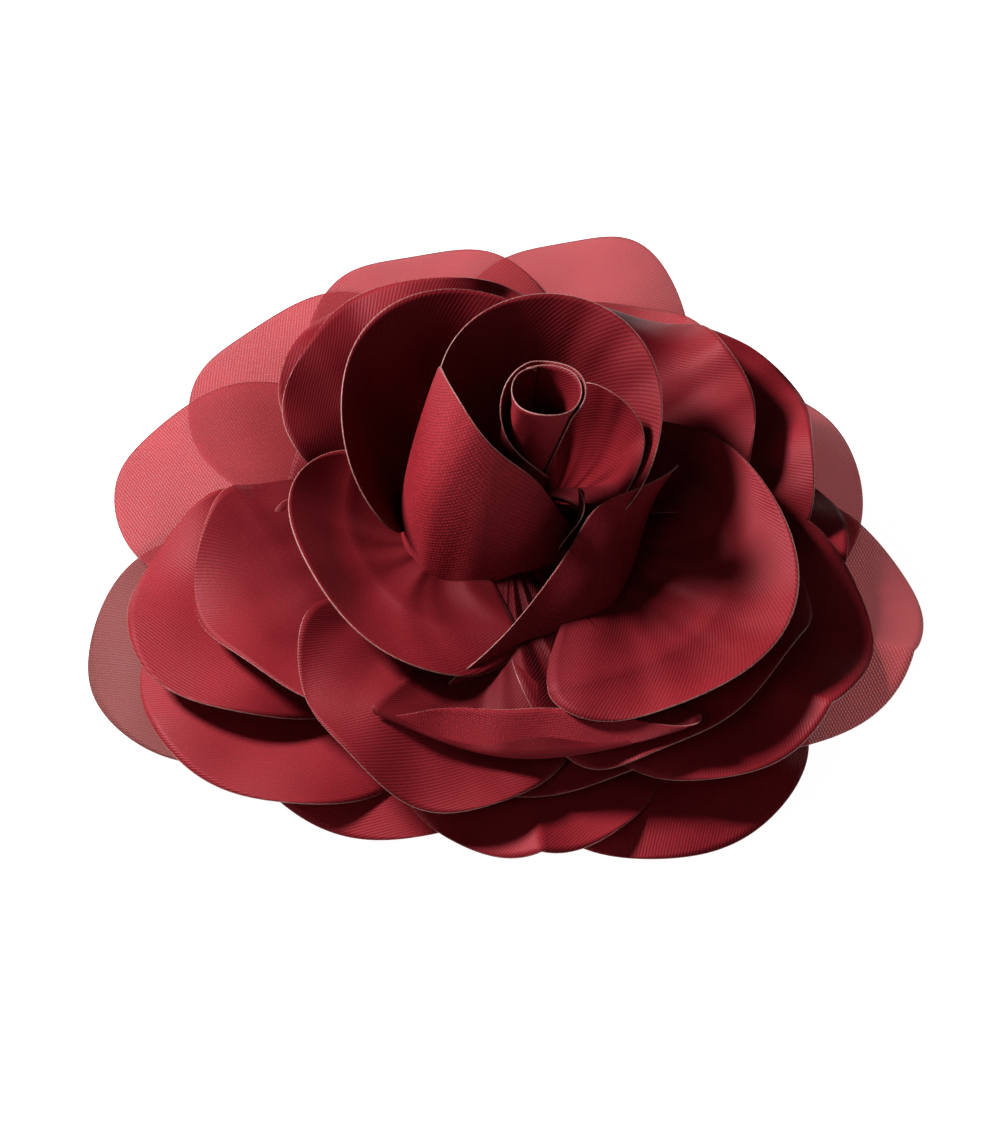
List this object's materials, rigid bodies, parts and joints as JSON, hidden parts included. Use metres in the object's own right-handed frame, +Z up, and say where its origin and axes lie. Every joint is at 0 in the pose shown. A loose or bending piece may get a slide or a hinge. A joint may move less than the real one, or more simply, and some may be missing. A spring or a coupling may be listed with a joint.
{
  "type": "flower hair clip",
  "caption": "Layered satin flower with a rolled bud, on a felt disc fixed to a sprung steel clip whose lower jaw swings open to grip hair.",
  "frame": {"origin": "middle of the clip's underside, below the flower's axis", "axes": "+X along the clip from its closed tip to its finger tabs, +Y across the clip, +Z up out of the flower"},
  "size_m": [0.1162, 0.1182, 0.046],
  "materials": {
    "sheer_satin": "sheer wine-red polyester satin, glossy face, matte twill back, pale heat-sealed edge",
    "satin": "burgundy polyester satin, glossy face, matte twill back, pale heat-sealed edge",
    "felt": "dark burgundy pressed felt",
    "glue": "hot-melt glue, milky",
    "clip_steel": "nickel-plated sheet steel",
    "spring_steel": "drawn spring wire"
  },
  "bodies": {
    "flower": {"outer_petal_1": "sheer_satin", "outer_petal_2": "sheer_satin", "outer_petal_3": "sheer_satin", "outer_petal_4": "sheer_satin", "outer_petal_5": "sheer_satin", "outer_petal_6": "sheer_satin", "second_petal_1": "sheer_satin", "second_petal_2": "sheer_satin", "second_petal_3": "sheer_satin", "second_petal_4": "sheer_satin", "second_petal_5": "sheer_satin", "second_petal_6": "sheer_satin", "third_petal_1": "satin", "third_petal_2": "satin", "third_petal_3": "satin", "third_petal_4": "satin", "third_petal_5": "satin", "third_petal_6": "satin", "fourth_petal_1": "satin", "fourth_petal_2": "satin", "fourth_petal_3": "satin", "fourth_petal_4": "satin", "fourth_petal_5": "satin", "fourth_petal_6": "satin", "fifth_petal_1": "satin", "fifth_petal_2": "satin", "fifth_petal_3": "satin", "fifth_petal_4": "satin", "fifth_petal_5": "satin", "fifth_petal_6": "satin", "cup_petal_1": "satin", "cup_petal_2": "satin", "cup_petal_3": "satin", "cup_petal_4": "satin", "cup_petal_5": "satin", "heart_petal_1": "satin", "heart_petal_2": "satin", "heart_petal_3": "satin", "heart_petal_4": "satin", "bud_wrap": "satin", "bud_core": "satin", "felt_disc": "felt", "glue_core": "glue", "clip_upper_arm": "clip_steel", "clip_pin": "clip_steel", "clip_spring": "spring_steel"},
    "jaw": {"clip_lower_arm": "clip_steel"}
  },
  "joints": [
    {"name": "jaw_hinge", "type": "hinge", "parent": "flower", "child": "jaw", "pos_m": [0.008, 0, 0.0037], "axis": [0, -1, 0], "range_deg": [0, 18], "stiffness_Nm_per_rad": 0.15, "springref_deg": -28.65, "deforming": ["clip_spring"]}
  ]
}
